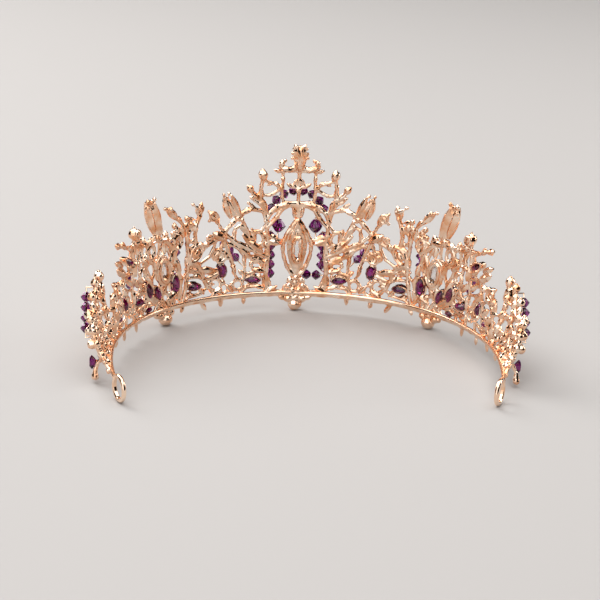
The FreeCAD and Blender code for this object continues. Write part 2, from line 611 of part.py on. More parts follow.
end.limb(twig, (118, -0.8), (117.4, 2.4, 3), (116.6, 6, 4.8), (115.2, 10.2, 6.0), (114, 13.4, 6.6))
end.limb(sprig, (95, 11.6), (98.4, 12, 3.4), (104.4, 12, 4.8), (111, 9, 5.0), (116.6, 6, 4.8))
end.limb(sprig, (98.6, 18, 4.6), (104, 18, 5.8), (109.8, 14.6, 6.2))
end.limb(sprig, (97.6, 6, 2), (103.4, 5, 3), (110.6, 3.6, 3.4), (117.4, 2.4, 3))
end.limb(sprig, (103.4, 5, 3), (107, 8.4, 4.2), (111, 9, 5.0))
end.limb(sprig, (104.4, 12, 4.8), (107, 8.4, 4.2), (110.6, 3.6, 3.4))
end.limb(sprig, (117.4, 2.4, 3), (121, 2, 2.6), (123.4, -0.6))
end.limb(sprig, (117.4, 2.4, 3), (117.6, -0.6, 4.6), (117.6, -2.4, 5.4))
end.limb(sprig, (112, -0.9), (112.8, -1.6, 4), (113.6, -1.4, 5.4))
droplet = bar(place(117.8, -2, 5.4), place(118.4, -5, 5.6), 0.6, 1.1)
end.grain(1.7, 96.8, 24.4, 6.2)
end.grain(1.2, 102.2, 24, 6.6)
end.grain(1.3, 107.2, 20.6, 6.9)
end.grain(1.2, 113.6, 14.6, 6.8)
end.grain(1.3, 98.4, 12, 3.4)
end.grain(1.2, 104.4, 12, 4.8)
end.grain(1.2, 111, 9, 5.0)
end.grain(1.1, 104, 18, 5.8)
end.grain(1.2, 117.4, 2.4, 3)
end.grain(1.3, 118.4, -5.2, 5.6)
end.add(droplet, leaf((82.8, 31.4), (85.8, 34.4), 2.2, 0.9, 0.7),
        leaf((84.2, 21.2), (91.2, 25.6), 3.2, 1.1, 0.9), leaf((83.6, -1.2), (83.4, -5), 2.0, 0.8, 0.7),
        leaf((92, -1.2), (92.6, -4.4), 2.0, 0.8, 0.7), leaf((101, -1.2), (102, -4.2), 1.8, 0.8, 0.7),
        collet(80.4, 25.4, 7.4, 2.1, 60), collet(84, 9.4, 4.0, 2.0, 8), collet(89.6, 5.6, 3.6, 1.7, 70),
        rail(76.1, 124.4, -rail_drop, rail_out, rail_wire * inner_rail))
end.limb(sprig, (76.6, 30.8), (76, 32.4), (75.7, 34.8))
end.grain(crown_ball, 75.7, 34.8)
pair("end_casting", end.shape())

# ---- stones -------------------------------------------------------------------
pair("shoulder_amethysts", Part.makeCompound([
    stone(17.2, 5.7, 5.1, 3.0, 82), stone(30, 10.6, 5.3, 2.7, 10), stone(42.3, 5.6, 5.5, 2.4, 84)]))
pair("side_amethysts", Part.makeCompound([
    stone(51.4, 8.6, 7.5, 3.2, 4), stone(61, 7.2, 6.5, 2.5, 24), stone(66, 9.6, 6.9, 2.9, 16),
    stone(72.6, 6.8, 6.1, 2.3, 78), stone(66.4, 2.0, 3.5, 1.5, 80, depth=1.8)]))
pair("end_amethysts", Part.makeCompound([
    stone(80.4, 25.4, 7.3, 2.0, 60), stone(84, 9.4, 3.9, 1.9, 8), stone(89.6, 5.6, 3.5, 1.6, 70, depth=1.8),
    stone(113.8, -1.6, 5.2, 2.6, 0, 0.5, 6.8, 2.8)]))

# ---- beads on their wires -----------------------------------------------------
arch_radius = 11.0
arch_middle = Vector(0, -bead_out, band_height + 30.6)
arch_step = math.degrees(bead_pitch / arch_radius)
arch_count = 8


def arch_spoke(degrees):
    return Vector(math.sin(math.radians(degrees)), 0, math.cos(math.radians(degrees)))


for i in range(arch_count):
    spoke = arch_spoke(arch_step * (i - (arch_count - 1) / 2))
    bead_name = "arch_bead_%d" % (i + 1)
    bead_centre = arch_middle + spoke * arch_radius
    bead_axis = Vector(spoke.z, 0, -spoke.x)
    nodes[bead_name] = bicone(bead_centre, bead_axis)
    bead_axes[bead_name] = (bead_centre, bead_axis)

# the arched wire bows through each straight bore, half a bow either side of its axis
arch_bow = bead_half ** 2 / (4 * arch_radius)
arch_half = arch_step * arch_count / 2
right_end, crest, left_end = [arch_middle + arch_spoke(degrees) * (arch_radius + arch_bow)
                              for degrees in (-arch_half, 0, arch_half)]
arch_path = Part.Wire([Part.Arc(right_end, crest, left_end).toShape()])
arch_section = Part.Wire([Part.makeCircle(thread_wire, right_end, arch_spoke(90 - arch_half))])
arch_wire = [arch_path.makePipeShell([arch_section], True, False)]
for side, arch_end in ((-1, right_end), (1, left_end)):
    arch_wire.append(ball(arch_end, thread_wire * thread_knot, Vector(0, 1, 0)))
    arch_wire.append(bar(arch_end, place(side * 12.2, 29.4), thread_wire))
nodes["arch_wire"] = fused(arch_wire)


def hung_strand(name, high, low, count, high_root, low_root, scale=1.0):
    """A straight row of beads, and the wire that holds it to the castings."""
    first = place(*high)
    last = place(*low)
    add_strand(name, first, last, count, scale)
    return thread(place(*high_root), first, last, place(*low_root))


# the wearer's right has a shorter row of beads beside the marquise, above the foot strand
for side_name, side, bead_count, low_end, low_root in (("left", 1, 5, (9.8, 4.8, bead_out), (9.8, 1.4)),
                                                       ("right", -1, 4, (-9.8, 8.8, bead_out), (-11.8, 8.4))):
    long_wire = hung_strand("centre_strand_" + side_name, (side * 9.8, 24.8, bead_out), low_end, bead_count,
                            (side * 11.7, 25.2), low_root)
    short_wire = hung_strand("big_bead_" + side_name, (side * 6.9, 30.6, bead_out), (side * 7.2, 23.6, bead_out),
                             1, (side * 7.6, 32.6), (side * 7.6, 22.2), big_bead_scale)
    nodes["centre_wires_" + side_name] = Part.makeCompound([long_wire, short_wire])
    nodes["side_wires_" + side_name] = Part.makeCompound([
        hung_strand("shoulder_strand_" + side_name, (side * 30.2, 23.0, bead_out), (side * 21.9, 12.2, bead_out),
                    3, (side * 29.1, 24.6), (side * 20.6, 11)),
        hung_strand("side_strand_" + side_name, (side * 48.9, 27.6, bead_out),
                    (side * 48.9, 12.9, bead_out + 0.6), 3, (side * 49.4, 28.6), (side * 48.9, 11.4)),
        hung_strand("temple_strand_" + side_name, (side * 75.6, 19.6, bead_out), (side * 72.7, 11.2, bead_out),
                    2, (side * 76.8, 20.8), (side * 71.4, 10.2)),
        hung_strand("end_strand_" + side_name, (side * 101.6, 22.2, 9.8), (side * 112.2, 7.2, 9.0), 4,
                    (side * 102.4, 22.6, 6.4), (side * 112.2, 7.8, 5.0))])
nodes["foot_strand_wire"] = hung_strand("foot_strand", (-1.9, 6.7, bead_out), (-10.5, 6.5, bead_out), 2,
                                        (-1.4, 8.6), (-11.8, 6.4))

# ---- the origin: middle of the footprint, on the surface it stands on -----------------
overall = Part.makeCompound(list(nodes.values())).optimalBoundingBox()
shift = Vector(-(overall.XMin + overall.XMax) / 2, -(overall.YMin + overall.YMax) / 2, -overall.ZMin)
print("overall size", overall.XLength, overall.YLength, overall.ZLength, "moved by", shift)
os.makedirs("parts", exist_ok=True)
for name, shape in nodes.items():
    nodes[name] = shape.translated(shift)
    print(name, round(shape.Volume, 1), len(shape.Solids), shape.isValid())
    nodes[name].exportStep("parts/" + name + ".step")
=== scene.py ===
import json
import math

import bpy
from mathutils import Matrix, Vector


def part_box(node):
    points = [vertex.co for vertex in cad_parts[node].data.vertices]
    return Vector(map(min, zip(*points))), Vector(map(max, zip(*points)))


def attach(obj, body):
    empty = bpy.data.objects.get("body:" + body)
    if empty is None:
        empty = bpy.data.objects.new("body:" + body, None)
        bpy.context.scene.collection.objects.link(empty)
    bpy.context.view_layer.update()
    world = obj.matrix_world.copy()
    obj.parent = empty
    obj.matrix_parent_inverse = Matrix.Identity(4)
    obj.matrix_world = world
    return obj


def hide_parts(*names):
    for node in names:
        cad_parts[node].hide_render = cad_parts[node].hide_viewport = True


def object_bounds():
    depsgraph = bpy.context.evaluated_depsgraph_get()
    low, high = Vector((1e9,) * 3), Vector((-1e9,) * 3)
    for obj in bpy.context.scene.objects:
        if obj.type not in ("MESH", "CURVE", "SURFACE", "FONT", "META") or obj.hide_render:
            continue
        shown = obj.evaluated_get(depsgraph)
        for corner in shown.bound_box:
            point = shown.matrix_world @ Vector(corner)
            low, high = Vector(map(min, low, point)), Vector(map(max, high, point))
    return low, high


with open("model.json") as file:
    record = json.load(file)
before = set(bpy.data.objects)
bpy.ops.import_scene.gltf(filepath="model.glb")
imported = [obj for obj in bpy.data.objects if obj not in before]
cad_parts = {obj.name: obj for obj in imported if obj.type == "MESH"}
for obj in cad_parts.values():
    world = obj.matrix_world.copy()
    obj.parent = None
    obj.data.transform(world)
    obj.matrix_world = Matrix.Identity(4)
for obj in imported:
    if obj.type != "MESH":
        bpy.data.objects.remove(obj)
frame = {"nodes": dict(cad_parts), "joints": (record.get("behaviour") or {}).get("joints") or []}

# %% [markdown]
# # A bridal tiara in rose gold and amethyst
# The tiara is built by a jeweller from small castings brazed onto a sprung wire band, with crystal beads
# threaded on fine wires and stones set in open collets. The design gives every piece its place and size.
# This lesson gives each piece its skin: the melted, slightly lumpy surface of a casting, the flat facets of
# a cut stone, and the metal and crystal that they are made of. All lengths are metres, so a millimetre is
# written as a thousandth.

MM = 0.001
nodes = frame["nodes"]
cad_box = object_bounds()
low, high = cad_box
front_low, front_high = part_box("base_band")
band_wire = 0.8 * MM
band_height = (front_low.z + front_high.z) / 2
band_front = front_low.y + band_wire
print("tiara", [round(1000 * (b - a), 1) for a, b in zip(low, high)], "mm; band at", round(1000 * band_height, 1), "mm")

# %% [markdown]
# ## The camera
# The tiara stands with its back to us, so the camera looks at the inside of the band, at the side that rests
# against the hair. It stands seventy centimetres away and twenty degrees up, a little towards the wearer's left, and the
# picture leans by two degrees, as it does when a camera is held in the hand. The place is worked out from the
# front of the band with an azimuth and an elevation, because a direction is easier to correct than a point.

# %% Camera
camera_distance = 0.700
camera_elevation = math.radians(20)
camera_azimuth = math.radians(4.404)
camera_lean = math.radians(2.282)

aim = Vector((-1.46 * MM, band_front + 8.5 * MM, band_height))
backward = Vector((math.sin(camera_azimuth) * math.cos(camera_elevation),
                   math.cos(camera_azimuth) * math.cos(camera_elevation), math.sin(camera_elevation)))
camera_data = bpy.data.cameras.new("camera")
camera_data.sensor_width = 36
camera_data.lens = 105.9
camera_data.clip_start = 0.01
camera = bpy.data.objects.new("camera", camera_data)
bpy.context.scene.collection.objects.link(camera)
camera.matrix_world = (Matrix.Translation(aim + backward * camera_distance)
                       @ backward.to_track_quat("Z", "Y").to_matrix().to_4x4()
                       @ Matrix.Rotation(camera_lean, 4, "Z"))
bpy.context.scene.camera = camera
print("camera at", [round(v, 3) for v in camera.matrix_world.translation])

# %% [markdown]
# ## Floor and light
# A product table is a sheet of warm white paper. Polished metal has no look of its own, it shows what stands
# round it, so the light is what models the castings: a large soft window on the wearer's left and ahead, a
# weaker one overhead, and a dim side towards the camera that gives the gold its dark edges.

# %% Floor
def select_only(piece):
    bpy.ops.object.select_all(action="DESELECT")
    piece.select_set(True)
    bpy.context.view_layer.objects.active = piece


bpy.ops.object.select_all(action="DESELECT")
bpy.ops.mesh.primitive_plane_add(size=6, location=(0, 0, 0))
floor = bpy.context.active_object
floor.name = "paper_floor"
bpy.ops.object.transform_apply(location=True, rotation=True, scale=True)
paper = bpy.data.materials.new("warm_paper")
paper.use_nodes = True
paper_shader = paper.node_tree.nodes["Principled BSDF"]
paper_shader.inputs["Base Color"].default_value = (0.46, 0.443, 0.432, 1)
paper_shader.inputs["Roughness"].default_value = 0.9
floor.data.materials.append(paper)
print("floor laid")

# %% Light
def soft_light(name, place, size, power, colour):
    light_data = bpy.data.lights.new(name, "AREA")
    light_data.shape = "SQUARE"
    light_data.size = size
    light_data.energy = power
    light_data.color = colour
    light = bpy.data.objects.new(name, light_data)
    bpy.context.scene.collection.objects.link(light)
    place = Vector(place)
    light.matrix_world = Matrix.Translation(place) @ (place - aim).to_track_quat("Z", "Y").to_matrix().to_4x4()
    return light


soft_light("window", (0.75, -0.75, 0.85), 0.9, 13.5, (1.0, 0.99, 0.98))
soft_light("overhead", (0.0, 0.05, 1.25), 1.8, 23, (1.0, 0.99, 0.98))
soft_light("rim", (-0.9, -0.3, 0.35), 0.4, 2.2, (1.0, 0.98, 0.96))
soft_light("fill", (0.65, 1.2, 0.65), 1.8, 13, (1.0, 0.99, 0.99))
world = bpy.data.worlds.new("studio")
bpy.context.scene.world = world
world.use_nodes = True
sky = world.node_tree.nodes["Background"]
sky.inputs["Color"].default_value = (0.22, 0.14, 0.10, 1)
sky.inputs["Strength"].default_value = 0.05
bpy.context.scene.view_settings.view_transform = "Standard"
print("four soft lights")

# %% [markdown]
# ## Rose gold
# The castings are plated in a pale rose gold and tumbled, so they are bright but not flat: the skin is wavy
# on the scale of a millimetre and a little matt in the hollows. Two noises do that, a slow one that shifts
# the colour and the roughness, and a fine one that only bends the reflection.

# %% Rose gold
def gold(name, light, deep, smooth, rough, grain, grain_size):
    metal = bpy.data.materials.new(name)
    metal.use_nodes = True
    tree = metal.node_tree
    shader = tree.nodes["Principled BSDF"]
    shader.inputs["Metallic"].default_value = 1.0
    place = tree.nodes.new("ShaderNodeTexCoord")
    slow = tree.nodes.new("ShaderNodeTexNoise")
    slow.inputs["Scale"].default_value = 260
    slow.inputs["Detail"].default_value = 3
    tree.links.new(place.outputs["Object"], slow.inputs["Vector"])
    tint = tree.nodes.new("ShaderNodeValToRGB")
    tint.color_ramp.elements[0].position = 0.32
    tint.color_ramp.elements[0].color = (*deep, 1)
    tint.color_ramp.elements[1].position = 0.66
    tint.color_ramp.elements[1].color = (*light, 1)
    tree.links.new(slow.outputs["Fac"], tint.inputs["Fac"])
    tree.links.new(tint.outputs["Color"], shader.inputs["Base Color"])
    polish = tree.nodes.new("ShaderNodeMapRange")
    polish.inputs["From Min"].default_value = 0.3
    polish.inputs["From Max"].default_value = 0.7
    polish.inputs["To Min"].default_value = rough
    polish.inputs["To Max"].default_value = smooth
    tree.links.new(slow.outputs["Fac"], polish.inputs["Value"])
    tree.links.new(polish.outputs["Result"], shader.inputs["Roughness"])
    fine = tree.nodes.new("ShaderNodeTexNoise")
    fine.inputs["Scale"].default_value = grain_size
    fine.inputs["Detail"].default_value = 2
    tree.links.new(place.outputs["Object"], fine.inputs["Vector"])
    skin = tree.nodes.new("ShaderNodeBump")
    skin.inputs["Strength"].default_value = grain
    skin.inputs["Distance"].default_value = 0.1 * MM
    tree.links.new(fine.outputs["Fac"], skin.inputs["Height"])
    tree.links.new(skin.outputs["Normal"], shader.inputs["Normal"])
    return metal


cast_gold = gold("cast_rose_gold", (1.0, 0.80, 0.64), (0.85, 0.42, 0.21), 0.07, 0.20, 0.9, 1100)
wire_gold = gold("drawn_rose_gold", (1.0, 0.80, 0.63), (0.92, 0.55, 0.34), 0.08, 0.16, 0.15, 1500)
print("gold:", cast_gold.name, wire_gold.name)

# %% [markdown]
# ## Crystal
# The purple crystals are glass, dark where one looks through the length of a stone and bright where a facet
# mirrors the window. The clear ones are the same glass without the dye.

# %% Crystal
def crystal(name, colour, depth_colour, roughness):
    glass = bpy.data.materials.new(name)
    glass.use_nodes = True
    tree = glass.node_tree
    shader = tree.nodes["Principled BSDF"]
    shader.inputs["Transmission Weight"].default_value = 1.0
    shader.inputs["IOR"].default_value = 1.56
    shader.inputs["Roughness"].default_value = roughness
    place = tree.nodes.new("ShaderNodeTexCoord")
    cloud = tree.nodes.new("ShaderNodeTexNoise")
    cloud.inputs["Scale"].default_value = 300
    tree.links.new(place.outputs["Object"], cloud.inputs["Vector"])
    tint = tree.nodes.new("ShaderNodeValToRGB")
    tint.color_ramp.elements[0].position = 0.35
    tint.color_ramp.elements[0].color = (*depth_colour, 1)
    tint.color_ramp.elements[1].position = 0.65
    tint.color_ramp.elements[1].color = (*colour, 1)
    tree.links.new(cloud.outputs["Fac"], tint.inputs["Fac"])
    tree.links.new(tint.outputs["Color"], shader.inputs["Base Color"])
    return glass


amethyst = crystal("amethyst_crystal", (0.32, 0.025, 0.25), (0.10, 0.003, 0.09), 0.0)
clear = crystal("clear_crystal", (0.95, 0.93, 0.92), (0.84, 0.79, 0.76), 0.03)
print("crystal:", amethyst.name, clear.name)

# %% [markdown]
# ## Castings
# A wax model is built from rods and balls that melt into each other where they meet. The design has the rods
# and balls, with sharp seams. Swelling the surface, remeshing it as one skin and shrinking it again leaves
# a fillet in every inside corner, which is what the molten wax does. A soft noise then gives it the lumpy
# skin of a hand-finished casting.

# %% Melting a casting
lumps = bpy.data.textures.new("wax_lumps", "CLOUDS")
lumps.noise_scale = 1.3 * MM
lumps.noise_depth = 1


def set_material(piece, material):
    piece.data.materials.clear()
    piece.data.materials.append(material)


def copy_of(node, name):
    piece = bpy.data.objects.new(name, nodes[node].data.copy())
    bpy.context.scene.collection.objects.link(piece)
    select_only(piece)
    bpy.ops.object.mode_set(mode="EDIT")
    bpy.ops.mesh.select_all(action="SELECT")
    bpy.ops.mesh.remove_doubles(threshold=0.001 * MM)
    bpy.ops.object.mode_set(mode="OBJECT")
    return piece


def apply_all(piece):
    select_only(piece)
    for modifier in list(piece.modifiers):
        bpy.ops.object.modifier_apply(modifier=modifier.name)


def melt(piece, lump, swell, shrink, voxel):
    """Swell, skin and shrink, with the lumps of hand-worked wax, so that inside corners fill."""
    for name, amount in (("lumps", lump), ("swell", swell)):
        change = piece.modifiers.new(name, "DISPLACE")
        change.strength = amount
        change.mid_level = 0
        if name == "lumps":
            change.texture = lumps
            change.texture_coords = "LOCAL"
            change.mid_level = 0.5
    skin = piece.modifiers.new("skin", "REMESH")
    skin.mode = "VOXEL"
    skin.voxel_size = voxel
    back = piece.modifiers.new("back", "DISPLACE")
    back.strength = -shrink
    back.mid_level = 0
    flow = piece.modifiers.new("flow", "SMOOTH")
    flow.factor = 0.5
    flow.iterations = 3
    apply_all(piece)
    select_only(piece)
    bpy.ops.object.shade_smooth()
    return piece


# %% [markdown]
# ## A place on the band
# Every ornament is laid out as the jeweller lays it out on the flat strip before bending: how far along the
# band from the middle, how high above the wire, and how far outward. The band is three arcs in plan, so a
# short function bends the flat layout into its place. Stations to the wearer's left are positive.

# %% A place on the band
band_bends = ((80 * MM, math.radians(20)), (66 * MM, math.radians(66)), (105 * MM, math.radians(60)))


def band_at(station):
    """Plan position and heading of the band wire, for a station in millimetres from the middle."""
    left = abs(station) * MM
    heading, x, y = 0.0, 0.0, 0.0
    for radius, turn in band_bends:
        run = min(left, radius * turn)
        after = heading + run / radius
        x += radius * (math.sin(after) - math.sin(heading))
        y += radius * (math.cos(heading) - math.cos(after))
        heading = after
        left -= run
    return x, y, heading


def seat(station, height, out):
    """The point at this station and height, so many millimetres outward of the wire."""
    x, y, heading = band_at(station)
    side = math.copysign(1, station)
    return (Vector((side * x, band_front + y, band_height + height * MM))
            + Vector((side * math.sin(heading), -math.cos(heading), 0)) * out * MM)


def face_at(station):
    return (seat(station, 0, 1) - seat(station, 0, 0)).normalized()


def lean_at(station, tilt):
    """Upright, turned by the tilt in degrees towards the tail of the band."""
    heading = band_at(station)[2]
    tailward = Vector((math.copysign(1, station) * math.cos(heading), math.sin(heading), 0))
    return Vector((0, 0, 1)) * math.cos(math.radians(tilt)) + tailward * math.sin(math.radians(tilt))


print("left tail of the band at", [round(1000 * v, 1) for v in seat(132, 0, 0)], "mm")

# %% [markdown]
# ## The ornament kit
# The jeweller has a tray of three wax ornaments: a keeled petal, a berry with a little nipple, and a cup
# with a grain in it. Each is modelled once, a unit long, and pressed onto the branches again and again at
# different sizes. A petal starts as a short cylinder, because its rings of points are easy to pull into the
# profile of a leaf.

# %% A petal
def pick_points(piece, rule):
    """Select, in edit mode, the points that the rule is true for."""
    bpy.ops.object.mode_set(mode="EDIT")
    bpy.ops.mesh.select_mode(type="VERT")
    bpy.ops.mesh.select_all(action="DESELECT")
    bpy.ops.object.mode_set(mode="OBJECT")
    for point in piece.data.vertices:
        point.select = rule(point.co)
    bpy.ops.object.mode_set(mode="EDIT")


bpy.ops.object.select_all(action="DESELECT")
bpy.ops.mesh.primitive_cylinder_add(vertices=8, radius=0.5, depth=1, location=(0, 0, 0))
petal = bpy.context.active_object
bpy.ops.object.mode_set(mode="EDIT")
bpy.ops.mesh.select_all(action="SELECT")
petal_cuts = 4
for cut in range(petal_cuts):
    bpy.ops.mesh.select_all(action="SELECT")
    bpy.ops.mesh.bisect(plane_co=(0, 0, -0.5 + (cut + 1) / (petal_cuts + 1)), plane_no=(0, 0, 1))
petal_profile = (0.30, 0.72, 0.98, 1.0, 0.74, 0.22)
for ring, width in enumerate(petal_profile):
    level = -0.5 + ring / (petal_cuts + 1)
    pick_points(petal, lambda co: abs(co.z - level) < 0.01)
    bpy.ops.transform.resize(value=(width, 0.55 * (0.5 + 0.5 * width), 1), center_override=(0, 0, level))
pick_points(petal, lambda co: co.y < -0.1 and abs(co.x) < 0.1 and abs(co.z) < 0.35)
bpy.ops.transform.translate(value=(0, 0.16, 0))
pick_points(petal, lambda co: co.y > 0.1 and abs(co.x) < 0.1 and abs(co.z) < 0.35)
bpy.ops.transform.translate(value=(0, 0.14, 0))
bpy.ops.object.mode_set(mode="OBJECT")
print("petal", len(petal.data.vertices), "points")

# %% A berry
bpy.ops.object.select_all(action="DESELECT")
bpy.ops.mesh.primitive_uv_sphere_add(segments=10, ring_count=7, radius=0.5, location=(0, 0, 0))
berry = bpy.context.active_object
pick_points(berry, lambda co: co.z > 0.4)
bpy.ops.mesh.extrude_region_move(TRANSFORM_OT_translate={"value": (0, 0, 0.16)})
bpy.ops.transform.resize(value=(0.6, 0.6, 1), center_override=(0, 0, 0.6))
pick_points(berry, lambda co: abs(co.z) < 0.15)
bpy.ops.transform.resize(value=(1.06, 1.06, 1), center_override=(0, 0, 0))
bpy.ops.object.mode_set(mode="OBJECT")
print("berry", len(berry.data.vertices), "points")

# %% A cup with a grain
bpy.ops.object.select_all(action="DESELECT")
bpy.ops.mesh.primitive_torus_add(major_radius=0.5, minor_radius=0.13, major_segments=14, minor_segments=8,
                                 location=(0, 0, 0), rotation=(math.pi / 2, 0, 0))
cup = bpy.context.active_object
bpy.ops.object.transform_apply(location=True, rotation=True, scale=True)
pick_points(cup, lambda co: co.x ** 2 + co.z ** 2 > 0.3)
bpy.ops.transform.translate(value=(0, -0.07, 0))
bpy.ops.object.mode_set(mode="OBJECT")
bpy.ops.mesh.primitive_uv_sphere_add(segments=10, ring_count=7, radius=0.24, location=(0, -0.05, 0))
grain = bpy.context.active_object
cup.select_set(True)
bpy.context.view_layer.objects.active = cup
bpy.ops.object.join()
print("cup", len(cup.data.vertices), "points")

# %% Pressing an ornament on
petal.name, berry.name, cup.name = "petal", "berry", "cup"
slim = {"petal": 0.95, "berry": 0.95, "cup": 0.95}


def press(kind, station, height, tilt, length, width, out, pitch=0):
    """A copy of the ornament, scaled and turned into its place, joined to the casting."""
    face = face_at(station)
    axis = lean_at(station, tilt)
    if pitch:
        axis = (axis * math.cos(math.radians(pitch)) + face * math.sin(math.radians(pitch))).normalized()
        face = (face - axis * face.dot(axis)).normalized()
    across = axis.cross(face)
    shape = kind.data.copy()
    turn = Matrix((across, -face, axis)).transposed().to_4x4()
    sizes = Matrix.Diagonal((width * MM, width * MM, length * MM, 1))
    shape.transform(Matrix.Translation(seat(station, height, out)) @ turn @ sizes)
    ornament = bpy.data.objects.new("ornament", shape)
    bpy.context.scene.collection.objects.link(ornament)
    ornament.select_set(True)
    return ornament


def press_all(piece, ornaments):
    """Every ornament of a list, made one with the casting. Neighbours lie at different depths."""
    bpy.ops.object.select_all(action="DESELECT")
    depths = (0.25, 1.3, 0.75)
    for count, (kind, station, height, tilt, length, *rest) in enumerate(ornaments):
        width, out, pitch = rest + [length, depths[count % len(depths)], 0][len(rest):]
        press(kind, station, height, tilt, length, width * slim[kind.name], out, pitch)
    piece.select_set(True)
    bpy.context.view_layer.objects.active = piece
    bpy.ops.object.join()


# %% [markdown]
# ## Where the ornaments sit
# Each line is a petal, a berry or a cup: station and height along the strip, the tilt towards the tail,
# length and width. The places are chosen one by one, as they are on the bench. They are written for the
# wearer's left and used again, mirrored, for the right.

# %% Rows of ornaments
def garland(points, width, out):
    """A chain of petals from point to point."""
    chain = []
    for (s, z), (next_s, next_z) in zip(points, points[1:]):
        run = math.hypot(next_s - s, next_z - z)
        tilt = math.degrees(math.atan2(next_s - s, next_z - z))
        chain.append((petal, (s + next_s) / 2, (z + next_z) / 2, tilt, 1.45 * run, width, out))
    return chain


def ring_of(station, height, across, high, count):
    """Points round an oval, closed on itself."""
    turns = [2 * math.pi * i / count for i in range(count + 1)]
    return [(station + across * math.sin(turn), height + high * math.cos(turn)) for turn in turns]


def fan(station, height, radius, tilts, length, width):
    """Petals that spread from one point like the ribs of a fan."""
    return [(petal, station + radius * math.sin(math.radians(tilt)), height + radius * math.cos(math.radians(tilt)),
             tilt, length, width) for tilt in tilts]


def budded(upright, sizes):
    """Berries climbing an upright of the casting, on the side that faces the tail."""
    buds = []
    for (s, z, out), (next_s, next_z, next_out) in zip(upright, upright[1:]):
        for share, size in zip((0.2, 0.7), sizes):
            buds.append((berry, s + share * (next_s - s) + 0.7, z + share * (next_z - z), 0, size, size,
                         out + share * (next_out - out)))
    return buds


print("a row, a ring and a fan can be laid")

# %% Ornaments of the centre
centre_ornaments = [
    (petal, 13.2, 36.4, 18, 6.0, 2.1), (petal, 12.4, 30.4, 8, 5.0, 1.8), (petal, 14.6, 41.6, 0, 5.0, 1.7),
    (petal, 17.2, 40.6, 45, 5.0, 1.6), (petal, 12.6, 22.2, -4, 5.0, 1.3), (petal, 12.4, 16.4, 0, 5.0, 1.3),
    (petal, 12.7, 10.2, 0, 5.0, 1.3), (petal, 12.8, 4.6, 0, 5.0, 1.5), (petal, 9.8, 34.2, -62, 5.0, 2.0),
    (petal, 5.2, 36.6, -80, 5.0, 1.9), (petal, 10.6, 45.2, -70, 4.2, 1.5), (petal, 11.6, 40.6, -86, 4.4, 1.4),
    (petal, 9.6, 1.6, -60, 5.4, 2.0), (petal, 7.4, 0.2, 80, 4.6, 1.8), (berry, 6.6, 43.6, 0, 1.9),
    (berry, 6.4, 47.4, 0, 1.6), (berry, 14.2, 48.9, 0, 3.6), (berry, 19.2, 43.6, 45, 2.8),
    (berry, 18.6, 40.0, 60, 1.6), (berry, 12.4, 24.4, 0, 2.4), (berry, 12.2, 20.4, 0, 1.8),
    (cup, 3.4, 1.8, 0, 3.0), (berry, 15.2, 39.2, 0, 2.1), (petal, 3.4, 44.4, 55, 3.6, 1.5),
    (petal, 1.6, 33.6, 8, 4.6, 1.6), (petal, 8.4, 50.3, 80, 3.0, 1.5), (berry, 12.1, 13.2, 0, 1.9),
    (petal, 8.6, 21.2, 70, 4.6, 1.6), (petal, 8.4, 23.0, 50, 4.0, 1.4), (berry, 8.6, 45.0, 0, 1.4)]

